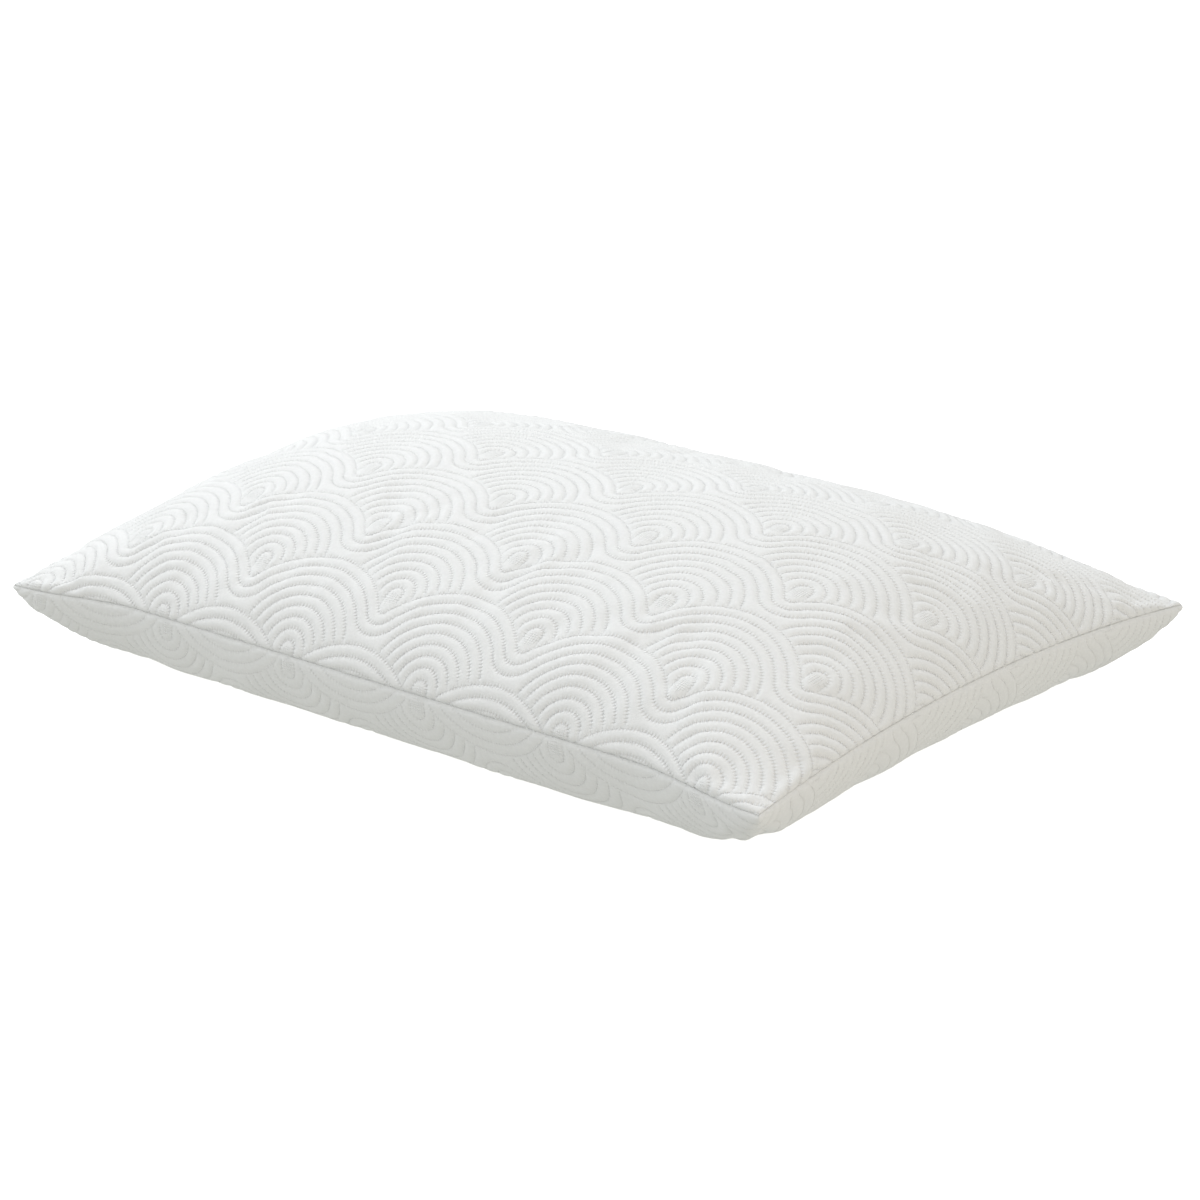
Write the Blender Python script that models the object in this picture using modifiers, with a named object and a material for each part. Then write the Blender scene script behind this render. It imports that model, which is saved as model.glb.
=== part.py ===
"""Bed pillow: a quilted zip-off cover over a lined foam filling.

Metres, +Z up. The pillow rests on z = 0 with its middle over the origin. The long sides run along X and the
zip is in the middle of the back seam, at +Y. Every layer is one closed shell, cut from the same pillow form
at its own depth below the surface.
"""

import math

import bmesh
import bpy
import numpy as np
from mathutils import Matrix, Vector

# ---- Driving dimensions ----------------------------------------------------------------------------------

LENGTH = 0.680  # from corner to corner along a long side
DEPTH = 0.505  # from corner to corner along a short side
LOFT = 0.150  # height of the crown over the surface that the pillow rests on

CORNER_SEAM_HEIGHT = 0.054  # the seam's height at the four corners
LONG_SEAM_RISE = 0.003  # how much higher the seam runs in the middle of a long side
SHORT_SEAM_RISE = 0.014  # and in the middle of a short side
LONG_SIDE_PULL = 0.014  # how far the fill pulls the middle of a long side in
SHORT_SIDE_PULL = 0.008  # and the middle of a short side

CROWN_LONG = (3.9, 0.68)  # how full the top is along X: the power of the share, and of what it leaves
CROWN_SHORT = (1.85, 0.60)  # and along Y
BELLY_LONG = (6.2, 0.42)  # how full the underside is along X
BELLY_SHORT = (11.0, 0.50)  # and along Y
REST_SPREAD = 1.05  # over 1, so that the underside is truly flat where it rests

GAP = 0.0003  # between any two pieces that lie on each other
KNIT = 0.0010  # thickness of the stretch-knit face
WADDING = 0.0030  # of the fibre wadding quilted under it
BACKING = 0.0006  # of the backing cloth
LINER = 0.0006  # of the inner case
SEAM_SETBACK = 0.0045  # the padding and the turned-in edges stop this short of the seam
SEAM_EDGE = 0.0012  # thickness of the cover's two overlocked edges, turned in along its seam
SEAM_EDGE_WIDTH = 0.0070
SEAM_EDGE_ROOM = 0.0007  # from a turned-in edge to the panels' rims, because the seam bends at the corners
LINER_SEAM_EDGE = 0.0008  # and of the liner's
LINER_SEAM_EDGE_WIDTH = 0.0045

ZIP_LENGTH = 0.400  # of the tapes
ZIP_BAND = 0.016  # height of the slot that the zip fills
ZIP_BAND_TAPER = 0.015  # along X, from the full slot to a closed seam
ZIP_END_ROOM = 0.006  # from a tape's end to where the slot starts to close
ZIP_INSET = 0.0010  # the tapes' faces lie this far inside the seam
TAPE = 0.0006  # thickness of a tape
COIL_WIDTH = 0.0025  # of one half of the chain
COIL_THICKNESS = 0.0024
COIL_BEHIND = 0.4  # the share of a coil's thickness that lies behind its tape
COIL_ROUND = 0.0004  # how much a coil's edges are rounded
COIL_GAP = 0.0010  # between the two halves, where the slider's post runs
COIL_END = 0.006  # from a tape's end to the chain's end
STOP_LENGTH = 0.0030  # along X
METAL_ROUND = 0.0003  # how much the edges of the stops and the slider are rounded

SLIDER_LENGTH = 0.0110
SLIDER_HEIGHT = 0.0092
SLIDER_PLATE = 0.0012
SLIDER_POST = (0.0030, 0.0006)  # length and thickness of the post that joins its two plates
SLIDER_POST_IN = 0.0010  # from the plates' leading edge to the post
SLIDER_FLANGE = 0.0010  # height of the rims that guide the chain
SLIDER_FLANGE_IN = (0.0004, 0.0001)  # how far a rim's ends and its outer face are set in from the plate's
RUNNING_CLEARANCE = 0.0003  # between the slider and what it runs on
BAIL_LENGTH = 0.0064
BAIL_HEIGHT = 0.0030
BAIL_WIDTH = 0.0022
BAIL_BAR = 0.0009
BAIL_ROOT = 0.0004  # how deep its feet go into the front plate

PULLER_LENGTH = 0.0240
PULLER_WIDTH = 0.0064
PULLER_THICKNESS = 0.0010
PULLER_PIN = 0.0009  # the bar at its root, which turns under the bail
PULLER_SIDE_ROOM = 0.0006  # between the bail and each side of the puller's eye
PULLER_PLATE_ROOM = 0.0002  # between the puller and the front plate, over the usual gap
PULLER_CORNER = 0.0009
PULLER_EYE_CORNER = 0.0003

LABEL_WIDTH = 0.030
LABEL_DROP = 0.036
LABEL_THICKNESS = 0.0006
LABEL_X = -0.262
LABEL_CORNER = 0.0015
LABEL_ROOM = 0.0010  # between the seam and the label

SLOT_MARGIN_SHARE = 0.01  # of half the length, from the slot's end to where the seam's turned-in edges start
COLUMNS_IN_ZIP = 10  # cells of the layers' grid along the zip
COLUMNS_TO_CORNER = 5  # and from the slot's end to each corner
ROWS = 14  # and across the pillow

# ---- Derived sizes ---------------------------------------------------------------------------------------

SLOT_HALF = ZIP_LENGTH / 2 + ZIP_END_ROOM
FLAT_HALF = SLOT_HALF + ZIP_BAND_TAPER  # the back seam is straight this far from the middle
WADDING_FROM = KNIT + GAP
BACKING_FROM = WADDING_FROM + WADDING + GAP
COVER_THICKNESS = BACKING_FROM + BACKING
LINER_TOP_FROM = COVER_THICKNESS + GAP
SEAM_EDGE_FROM = KNIT + SEAM_SETBACK
LINER_SIDE_FROM = max(COVER_THICKNESS + SEAM_SETBACK, SEAM_EDGE_FROM + SEAM_EDGE_WIDTH) + GAP
FILLING_TOP_FROM = LINER_TOP_FROM + LINER + GAP
FILLING_SIDE_FROM = LINER_SIDE_FROM + max(LINER, LINER_SEAM_EDGE_WIDTH) + GAP

ZIP_Z = CORNER_SEAM_HEIGHT + LONG_SEAM_RISE
BACK_SEAM_Y = DEPTH / 2 - LONG_SIDE_PULL
TAPE_FACE_Y = BACK_SEAM_Y - ZIP_INSET
COIL_BACK_Y = TAPE_FACE_Y - TAPE - COIL_BEHIND * COIL_THICKNESS
COIL_FRONT_Y = COIL_BACK_Y + COIL_THICKNESS
CHAIN_HALF = COIL_GAP / 2 + COIL_WIDTH
COIL_HALF = ZIP_LENGTH / 2 - COIL_END

SLIDER_REST_X = COIL_HALF - STOP_LENGTH - GAP - SLIDER_LENGTH / 2
PLATE_BACK_Y = COIL_FRONT_Y + RUNNING_CLEARANCE
PLATE_FRONT_Y = PLATE_BACK_Y + SLIDER_PLATE
PIN_Y = PLATE_FRONT_Y + GAP + PULLER_THICKNESS / 2 + PULLER_PLATE_ROOM

bpy.ops.object.select_all(action="DESELECT")
for old in list(bpy.data.objects):
    bpy.data.objects.remove(old, do_unlink=True)


def new_collection(name):
    collection = bpy.data.collections.new(name)
    bpy.context.scene.collection.children.link(collection)
    return collection


PARTS = new_collection("bed_pillow")
CUTTERS = new_collection("cutters")


def material(name, colour, roughness, metallic=0.0):
    made = bpy.data.materials.new(name)
    made.use_nodes = True
    shader = made.node_tree.nodes["Principled BSDF"]
    shader.inputs["Base Color"].default_value = (*colour, 1.0)
    shader.inputs["Roughness"].default_value = roughness
    shader.inputs["Metallic"].default_value = metallic
    return made


KNIT_WHITE = material("knit_white", (0.90, 0.91, 0.90), 0.90)
FIBRE_WHITE = material("fibre_white", (0.85, 0.85, 0.83), 0.95)
CLOTH_WHITE = material("cloth_white", (0.86, 0.86, 0.84), 0.85)
TAPE_WHITE = material("tape_white", (0.82, 0.82, 0.80), 0.80)
COIL_NYLON = material("coil_nylon", (0.86, 0.86, 0.84), 0.45)
SLIDER_METAL = material("slider_metal", (0.72, 0.72, 0.72), 0.35, 1.0)
LABEL_SATIN = material("label_satin", (0.88, 0.88, 0.86), 0.50)
FOAM = material("foam", (0.88, 0.84, 0.72), 0.95)


def add_object(name, data, finish, collection=PARTS):
    thing = bpy.data.objects.new(name, data)
    collection.objects.link(thing)
    data.materials.append(finish)
    return thing


def mesh_object(name, bm, finish, collection=PARTS):
    mesh = bpy.data.meshes.new(name)
    bm.to_mesh(mesh)
    bm.free()
    return add_object(name, mesh, finish, collection)


# ---- The pillow's form -----------------------------------------------------------------------------------


def middle_of_side(share, straight):
    """1 along the straight middle of a side, and down to 0 at its corners."""
    past = max(0.0, abs(share) - straight) / (1.0 - straight)
    return 0.5 + 0.5 * math.cos(math.pi * past)


def fullness(share, powers):
    return max(0.0, 1.0 - abs(share) ** powers[0]) ** powers[1]


def long_side_middle(u):
    return middle_of_side(u, FLAT_HALF / (LENGTH / 2))


def seam_height(u, v):
    """The seam's height on the outline, and a smooth sheet between its sides inside it."""
    long_part = LONG_SEAM_RISE * long_side_middle(u) * v**2
    short_part = SHORT_SEAM_RISE * (1 - v**2) * u**2
    inside = 0.5 * (LONG_SEAM_RISE + SHORT_SEAM_RISE) * (1 - u**2) * (1 - v**2)
    return CORNER_SEAM_HEIGHT + long_part + short_part + inside


def slot_opening(u, v):
    """How far a panel's edge stands off the seam's line for the zip."""
    past = (abs(u) * LENGTH / 2 - SLOT_HALF) / ZIP_BAND_TAPER
    open_share = min(1.0, max(0.0, 1.0 - past))
    return ZIP_BAND / 2 * open_share * max(0.0, v) ** 12


def plan_place(u, v, side_depth):
    """Where the shares u and v of a layer this deep inside the sides lie in plan."""
    x = u * (LENGTH / 2 - side_depth - SHORT_SIDE_PULL * (1 - v**2))
    y = v * (DEPTH / 2 - side_depth - LONG_SIDE_PULL * long_side_middle(u))
    return x, y


def top_point(u, v, depth, side_depth, edge):
    """A point of the top form; edge is how far its rim stands over the seam's line."""
    x, y = plan_place(u, v, side_depth)
    rise = LOFT - seam_height(0, 0) - edge - depth
    z = seam_height(u, v) + edge + rise * fullness(u, CROWN_LONG) * fullness(v, CROWN_SHORT)
    return Vector((x, y, z))


def bottom_point(u, v, depth, side_depth, edge):
    """The same below the seam: it is flat, at its own depth over z = 0, where the pillow rests."""
    x, y = plan_place(u, v, side_depth)
    rim = seam_height(u, v) - edge
    full = min(1.0, REST_SPREAD * fullness(u, BELLY_LONG) * fullness(v, BELLY_SHORT))
    return Vector((x, y, rim - (rim - depth) * full))


def column_shares():
    """The grid's columns: even along the zip, closer together towards the corners."""
    half_length = LENGTH / 2
    along_zip = np.linspace(0, SLOT_HALF, COLUMNS_IN_ZIP // 2 + 1)
    turn = np.sin(np.linspace(0, math.pi / 2, COLUMNS_TO_CORNER + 1))[1:]
    to_corner = FLAT_HALF + (half_length - FLAT_HALF) * turn
    half = np.concatenate([along_zip, [FLAT_HALF], to_corner]) / half_length
    return np.concatenate([-half[:0:-1], half])


def row_shares():
    return np.sin(np.linspace(-math.pi / 2, math.pi / 2, ROWS + 1))


COLUMN_SHARES = column_shares()
ROW_SHARES = row_shares()


def add_form(bm, place):
    """A grid laid over the pillow's form. All its quads are cut along the same diagonal, so layers nest."""
    columns = len(COLUMN_SHARES) - 1
    grid = bmesh.ops.create_grid(bm, x_segments=columns, y_segments=ROWS, size=1.0)
    verts = grid["verts"]
    even_columns = np.linspace(-1, 1, columns + 1)
    even_rows = np.linspace(-1, 1, ROWS + 1)
    for vert in verts:
        u = float(np.interp(vert.co.x, even_columns, COLUMN_SHARES))
        v = float(np.interp(vert.co.y, even_rows, ROW_SHARES))
        vert.co = place(u, v)
    faces = list({face for vert in verts for face in vert.link_faces})
    faces.sort(key=lambda face: face.index)
    cut = bmesh.ops.triangulate(bm, faces=faces, quad_method="FIXED")
    return cut["faces"]


def closed_between(name, outer, inner, finish):
    """The closed solid between two forms whose rims are joined all round."""
    bm = bmesh.new()
    add_form(bm, outer)
    inner_faces = add_form(bm, inner)
    bmesh.ops.reverse_faces(bm, faces=inner_faces)
    rims = [edge for edge in bm.edges if edge.is_boundary]
    bmesh.ops.bridge_loops(bm, edges=rims)
    bmesh.ops.triangulate(bm, faces=[face for face in bm.faces if len(face.verts) > 3])
    bmesh.ops.recalc_face_normals(bm, faces=bm.faces)
    return mesh_object(name, bm, finish)


def shell(name, point, depth, side_depth, thickness, finish, rim, slotted):
    """One cloth layer, from its outer face to its inner face. Its rim stands this far off the seam's line."""

    def face(inward):
        def place(u, v):
            edge = rim + (slot_opening(u, v) if slotted else 0.0)
            return point(u, v, depth + inward, side_depth + inward, edge)

        return place

    return closed_between(name, face(0.0), face(thickness), finish)


# ---- The cover's and the liner's layers ------------------------------------------------------------------

wadding_side = WADDING_FROM + SEAM_SETBACK
backing_side = BACKING_FROM + SEAM_SETBACK
inner_rim = SEAM_EDGE / 2 + SEAM_EDGE_ROOM
liner_rim = LINER_SEAM_EDGE / 2 + SEAM_EDGE_ROOM
for half, half_point in (("top", top_point), ("bottom", bottom_point)):
    for name, depth, side_depth, thickness, finish, rim, slotted in (
        ("cover_{}_knit", 0.0, 0.0, KNIT, KNIT_WHITE, GAP / 2, True),
        ("cover_{}_wadding", WADDING_FROM, wadding_side, WADDING, FIBRE_WHITE, inner_rim, True),
        ("cover_{}_backing", BACKING_FROM, backing_side, BACKING, CLOTH_WHITE, inner_rim, True),
        ("liner_{}_panel", LINER_TOP_FROM, LINER_SIDE_FROM, LINER, CLOTH_WHITE, liner_rim, False),
    ):
        shell(name.format(half), half_point, depth, side_depth, thickness, finish, rim, slotted)


def filling_face(point):
    return lambda u, v: point(u, v, FILLING_TOP_FROM, FILLING_SIDE_FROM, SEAM_EDGE_ROOM)


closed_between("foam_filling", filling_face(top_point), filling_face(bottom_point), FOAM)

# ---- The edges turned in along the seams -----------------------------------------------------------------


def outline_shares():
    """Once round the pillow by the layers' own columns and rows, from the middle of the back, by the left."""
    columns, rows = list(COLUMN_SHARES), list(ROW_SHARES)
    middle = len(columns) // 2
    route = [(u, 1.0) for u in columns[middle:0:-1]]
    route += [(-1.0, v) for v in rows[:0:-1]]
    route += [(u, -1.0) for u in columns[:-1]]
    route += [(1.0, v) for v in rows[:-1]]
    route += [(u, 1.0) for u in columns[:middle:-1]]
    return route


def seam_edge(name, shares, depth, width, thickness, closed, finish):
    """A flat strip in the seam's plane, from this depth inwards, along its shares of the outline."""
    bm = bmesh.new()
    cells = len(shares) if closed else len(shares) - 1
    strip = bmesh.ops.create_grid(bm, x_segments=cells, y_segments=1, size=1.0)
    for vert in strip["verts"]:
        u, v = shares[round((vert.co.x + 1) / 2 * cells) % len(shares)]
        inward = depth if vert.co.y < 0 else depth + width
        vert.co = (*plan_place(u, v, inward), seam_height(u, v))
    bmesh.ops.remove_doubles(bm, verts=bm.verts, dist=1e-6)
    bmesh.ops.recalc_face_normals(bm, faces=bm.faces)
    edge = mesh_object(name, bm, finish)
    cloth = edge.modifiers.new("cloth", "SOLIDIFY")
    cloth.thickness = thickness
    cloth.offset = 0.0
    return edge


outline = outline_shares()
slot_share = FLAT_HALF / (LENGTH / 2) + SLOT_MARGIN_SHARE
beside_zip = [share for share in outline if share[1] < 1.0 or abs(share[0]) > slot_share]
seam_edge(
    "cover_seam_edge", beside_zip, SEAM_EDGE_FROM, SEAM_EDGE_WIDTH, SEAM_EDGE, False, CLOTH_WHITE
)
seam_edge(
    "liner_seam_edge", outline, LINER_SIDE_FROM, LINER_SEAM_EDGE_WIDTH, LINER_SEAM_EDGE, True, CLOTH_WHITE
)

# ---- The zip ---------------------------------------------------------------------------------------------


def block(name, low, high, finish, bevel=0.0, collection=PARTS):
    """A box between two corners, with its edges rounded by a Bevel."""
    low, high = Vector(low), Vector(high)
    bm = bmesh.new()
    size = high - low
    bmesh.ops.create_cube(bm, size=1.0, matrix=Matrix.Diagonal((*size, 1.0)))
    thing = mesh_object(name, bm, finish, collection)
    thing.location = (low + high) / 2
    if bevel:
        rounding = thing.modifiers.new("rounded_edges", "BEVEL")
        rounding.width = bevel
        rounding.segments = 2
        rounding.limit_method = "ANGLE"
    if collection is CUTTERS:
        thing.hide_render = True
        thing.display_type = "WIRE"
    return thing


def combine(thing, other, operation):
    boolean = thing.modifiers.new(f"{operation.lower()}_{other.name}", "BOOLEAN")
    boolean.operation = operation
    boolean.solver = "EXACT"
    boolean.object = other


tape_from = CHAIN_HALF + GAP
tape_to = ZIP_BAND / 2 - GAP
stop_from_x = COIL_HALF - STOP_LENGTH
for side, name in ((1, "upper"), (-1, "lower")):
    near, far = sorted((side * tape_from, side * tape_to))
    block(
        f"zip_tape_{name}",
        (-ZIP_LENGTH / 2, TAPE_FACE_Y - TAPE, ZIP_Z + near),
        (ZIP_LENGTH / 2, TAPE_FACE_Y, ZIP_Z + far),
        TAPE_WHITE,
    )
    near, far = sorted((side * COIL_GAP / 2, side * CHAIN_HALF))
    block(
        f"zip_coil_{name}",
        (-COIL_HALF + STOP_LENGTH + GAP, COIL_BACK_Y, ZIP_Z + near),
        (stop_from_x - GAP, COIL_FRONT_Y, ZIP_Z + far),
        COIL_NYLON,
        bevel=COIL_ROUND,
    )
    block(
        f"zip_top_stop_{name}",
        (stop_from_x, COIL_BACK_Y, ZIP_Z + near),
        (COIL_HALF, COIL_FRONT_Y + RUNNING_CLEARANCE, ZIP_Z + far),
        SLIDER_METAL,
        bevel=METAL_ROUND,
    )

block(
    "zip_bottom_stop",
    (-COIL_HALF, COIL_BACK_Y, ZIP_Z - CHAIN_HALF),
    (-COIL_HALF + STOP_LENGTH, COIL_FRONT_Y + RUNNING_CLEARANCE, ZIP_Z + CHAIN_HALF),
    SLIDER_METAL,
    bevel=METAL_ROUND,
)

# The slider: a front and a back plate joined by a post that runs between the two halves of the chain, with
# rims over the tapes and a bail that holds the puller.
slider_low_x = SLIDER_REST_X - SLIDER_LENGTH / 2
slider_high_x = SLIDER_REST_X + SLIDER_LENGTH / 2
slider = block(
    "zip_slider",
    (slider_low_x, PLATE_BACK_Y, ZIP_Z - SLIDER_HEIGHT / 2),
    (slider_high_x, PLATE_FRONT_Y, ZIP_Z + SLIDER_HEIGHT / 2),
    SLIDER_METAL,
    bevel=METAL_ROUND,
)
back_plate_y = COIL_BACK_Y - RUNNING_CLEARANCE
slider_back = block(
    "slider_back_plate",
    (slider_low_x, back_plate_y - SLIDER_PLATE, ZIP_Z - SLIDER_HEIGHT / 2),
    (slider_high_x, back_plate_y, ZIP_Z + SLIDER_HEIGHT / 2),
    SLIDER_METAL,
    bevel=METAL_ROUND,
    collection=CUTTERS,
)
post_length, post_thickness = SLIDER_POST
post_x = slider_high_x - SLIDER_POST_IN
post = block(
    "slider_post",
    (post_x - post_length, back_plate_y - SLIDER_PLATE / 2, ZIP_Z - post_thickness / 2),
    (post_x, PLATE_BACK_Y + SLIDER_PLATE / 2, ZIP_Z + post_thickness / 2),
    SLIDER_METAL,
    collection=CUTTERS,
)
combine(slider, post, "UNION")
combine(slider, slider_back, "UNION")
flange_end_in, flange_face_in = SLIDER_FLANGE_IN
flange_faces = (SLIDER_HEIGHT / 2 - SLIDER_FLANGE, SLIDER_HEIGHT / 2 - flange_face_in)
for side in (1, -1):
    near, far = sorted(side * face for face in flange_faces)
    flange = block(
        f"slider_flange_{'upper' if side > 0 else 'lower'}",
        (slider_low_x + flange_end_in, TAPE_FACE_Y + RUNNING_CLEARANCE, ZIP_Z + near),
        (slider_high_x - flange_end_in, PLATE_BACK_Y + SLIDER_PLATE / 2, ZIP_Z + far),
        SLIDER_METAL,
        collection=CUTTERS,
    )
    combine(slider, flange, "UNION")

bail = block(
    "slider_bail",
    (SLIDER_REST_X - BAIL_LENGTH / 2, PLATE_FRONT_Y - BAIL_ROOT, ZIP_Z - BAIL_WIDTH / 2),
    (SLIDER_REST_X + BAIL_LENGTH / 2, PLATE_FRONT_Y + BAIL_HEIGHT, ZIP_Z + BAIL_WIDTH / 2),
    SLIDER_METAL,
    bevel=METAL_ROUND,
    collection=CUTTERS,
)
bail_eye = block(
    "slider_bail_eye",
    (SLIDER_REST_X - BAIL_LENGTH / 2 + BAIL_BAR, PLATE_FRONT_Y, ZIP_Z - BAIL_WIDTH),
    (SLIDER_REST_X + BAIL_LENGTH / 2 - BAIL_BAR, PLATE_FRONT_Y + BAIL_HEIGHT - BAIL_BAR, ZIP_Z + BAIL_WIDTH),
    SLIDER_METAL,
    collection=CUTTERS,
)
combine(bail, bail_eye, "DIFFERENCE")
combine(slider, bail, "UNION")

# The puller: a flat tab with an eye at its root. Its origin is on the bar that turns under the bail, and it
# lies along the closed chain, towards -X.
eye_half = BAIL_WIDTH / 2 + PULLER_SIDE_ROOM
eye_end = BAIL_LENGTH / 2 + PULLER_SIDE_ROOM


def rounded_outline(curve, low, high, radius, steps=4):
    """A closed rectangle with round corners, as one spline of a flat curve."""
    centres = (
        (high[0] - radius, high[1] - radius),
        (low[0] + radius, high[1] - radius),
        (low[0] + radius, low[1] + radius),
        (high[0] - radius, low[1] + radius),
    )
    spline = curve.splines.new("POLY")
    spline.points.add(4 * (steps + 1) - 1)
    for index, point in enumerate(spline.points):
        quarter, step = divmod(index, steps + 1)
        angle = math.pi / 2 * (quarter + step / steps)
        x = centres[quarter][0] + radius * math.cos(angle)
        y = centres[quarter][1] + radius * math.sin(angle)
        point.co = (x, y, 0.0, 1.0)
    spline.use_cyclic_u = True


def flat_piece(name, outlines, thickness, finish):
    """A flat piece cut to its outlines, standing in the XZ plane."""
    curve = bpy.data.curves.new(name, "CURVE")
    curve.dimensions = "2D"
    curve.fill_mode = "BOTH"
    curve.extrude = thickness / 2
    for low, high, radius in outlines:
        rounded_outline(curve, low, high, radius)
    thing = add_object(name, curve, finish)
    thing.rotation_euler = (math.pi / 2, 0.0, 0.0)
    return thing


puller = flat_piece(
    "zip_puller",
    (
        ((-PULLER_LENGTH, -PULLER_WIDTH / 2), (PULLER_PIN / 2, PULLER_WIDTH / 2), PULLER_CORNER),
        ((-eye_end, -eye_half), (-PULLER_PIN / 2, eye_half), PULLER_EYE_CORNER),
    ),
    PULLER_THICKNESS,
    SLIDER_METAL,
)
puller.location = (SLIDER_REST_X, PIN_Y, ZIP_Z)

# ---- The care label, blank, sewn into the back seam beside the zip ---------------------------------------

label = flat_piece(
    "care_label",
    (((-LABEL_WIDTH / 2, -LABEL_DROP), (LABEL_WIDTH / 2, 0.0), LABEL_CORNER),),
    LABEL_THICKNESS,
    LABEL_SATIN,
)
label_share = LABEL_X / (LENGTH / 2)
outer_share = (abs(LABEL_X) + LABEL_WIDTH / 2) / (LENGTH / 2)
label_seam_y = plan_place(outer_share, 1.0, 0.0)[1]
label.location = (
    LABEL_X,
    label_seam_y + LABEL_ROOM + LABEL_THICKNESS / 2,
    seam_height(label_share, 1.0) + LABEL_THICKNESS,
)
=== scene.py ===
"""Bed pillow: the looks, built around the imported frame.

Metres, +Z up, in the frame's own coordinates: the pillow rests on z = 0, its long sides run along X, and the
zip is in the back seam, at +Y.
"""

import math

import bpy
import numpy as np
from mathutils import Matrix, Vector
from mathutils.kdtree import KDTree


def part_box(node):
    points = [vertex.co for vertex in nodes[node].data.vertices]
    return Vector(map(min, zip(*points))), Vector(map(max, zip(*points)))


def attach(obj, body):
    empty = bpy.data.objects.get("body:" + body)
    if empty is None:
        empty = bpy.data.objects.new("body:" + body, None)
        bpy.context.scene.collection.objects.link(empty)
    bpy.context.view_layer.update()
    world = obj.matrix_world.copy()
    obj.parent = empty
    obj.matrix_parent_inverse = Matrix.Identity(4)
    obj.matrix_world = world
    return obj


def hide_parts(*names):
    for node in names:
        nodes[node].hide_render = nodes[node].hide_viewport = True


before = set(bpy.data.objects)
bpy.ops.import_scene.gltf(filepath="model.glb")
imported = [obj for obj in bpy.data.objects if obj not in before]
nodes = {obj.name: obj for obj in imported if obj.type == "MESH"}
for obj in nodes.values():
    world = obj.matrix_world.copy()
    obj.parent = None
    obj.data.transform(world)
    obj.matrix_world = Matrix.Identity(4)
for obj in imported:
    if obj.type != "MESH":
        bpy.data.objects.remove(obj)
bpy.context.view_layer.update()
scene = bpy.context.scene

# ---- The pillow's form -----------------------------------------------------------------------------------
# A soft filling pushes the closed cover out to a crown on top and a flat belly below. The seam runs round
# at less than half height, and the fill pulls the middle of each side in from its corners.

top_low, top_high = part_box("cover_top_knit")
HALF_LENGTH = top_high.x
HALF_DEPTH = top_high.y
LOFT = top_high.z
CORNER_SEAM_HEIGHT = top_low.z
LONG_SEAM_RISE = 0.003
SHORT_SEAM_RISE = 0.014
LONG_SIDE_PULL = 0.014
SHORT_SIDE_PULL = 0.008
CROWN_LONG = (3.9, 0.68)  # how full the top is along X: the power of the share, and of what it leaves
CROWN_SHORT = (1.85, 0.60)  # and along Y
BELLY_LONG = (6.2, 0.42)  # how full the underside is along X
BELLY_SHORT = (11.0, 0.50)  # and along Y
REST_SPREAD = 1.05  # over 1, so that the underside is truly flat where it rests
ZIP_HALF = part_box("zip_tape_upper")[1].x  # of the zip in the back seam
TAPE_END_COVERED = 0.0035  # how much of each end of the tapes the panels close over
SLOT_HALF = ZIP_HALF - TAPE_END_COVERED
SLOT_TAPER = 0.008
SLOT_FADE = 12  # the power of the share across, with which the slot's lift dies away from the seam
SLOT_ROOM = 0.0006  # over the height of the two tapes
SLOT_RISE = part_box("zip_tape_upper")[1].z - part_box("zip_tape_lower")[0].z + SLOT_ROOM
STRAIGHT_PAST_ZIP = 0.021  # how far past the zip the long sides run on straight


def fullness(share, powers):
    """1 in the middle, and down to 0 at the share of 1."""
    return np.clip(1 - np.abs(share) ** powers[0], 0, None) ** powers[1]


def long_side_middle(u):
    """1 along the straight middle of a long side, and down to 0 at its corners."""
    straight = (ZIP_HALF + STRAIGHT_PAST_ZIP) / HALF_LENGTH
    past = np.clip(np.abs(u) - straight, 0, None) / (1 - straight)
    return 0.5 + 0.5 * np.cos(math.pi * past)


def seam_height(u, v):
    """Height of the seam, carried smoothly across the inside."""
    long_part = LONG_SEAM_RISE * long_side_middle(u) * v**2
    short_part = SHORT_SEAM_RISE * (1 - v**2) * u**2
    inside = 0.5 * (LONG_SEAM_RISE + SHORT_SEAM_RISE) * (1 - u**2) * (1 - v**2)
    return CORNER_SEAM_HEIGHT + long_part + short_part + inside


def slot_opening(u, v):
    """How far the zip's slot lifts each panel off the seam's line."""
    past = (np.abs(u) * HALF_LENGTH - SLOT_HALF) / SLOT_TAPER
    return SLOT_RISE / 2 * np.clip(1 - past, 0, 1) * np.clip(v, 0, None) ** SLOT_FADE


def form(u, v, side, inward=0.0):
    """The point of the cover at the shares u and v, this far inside its face; side is 1 above the seam."""
    x = u * (HALF_LENGTH - inward - SHORT_SIDE_PULL * (1 - v**2))
    y = v * (HALF_DEPTH - inward - LONG_SIDE_PULL * long_side_middle(u))
    seam = seam_height(u, v)
    if side > 0:
        rim = seam + slot_opening(u, v)
        rise = LOFT - inward - float(seam_height(0, 0))
        z = rim + rise * fullness(u, CROWN_LONG) * fullness(v, CROWN_SHORT)
    else:
        rim = seam - slot_opening(u, v)
        full = np.minimum(1, REST_SPREAD * fullness(u, BELLY_LONG) * fullness(v, BELLY_SHORT))
        z = rim - (rim - inward) * full
    return np.stack(np.broadcast_arrays(x, y, z), axis=-1)


# ---- The quilting's stitch lines -------------------------------------------------------------------------
# The cover is quilted flat, before it is cut: rows of fans, each row half a fan along from the one before,
# sewn by a multi-needle machine in even lock stitches through the knit, the wadding and the backing cloth.

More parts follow.
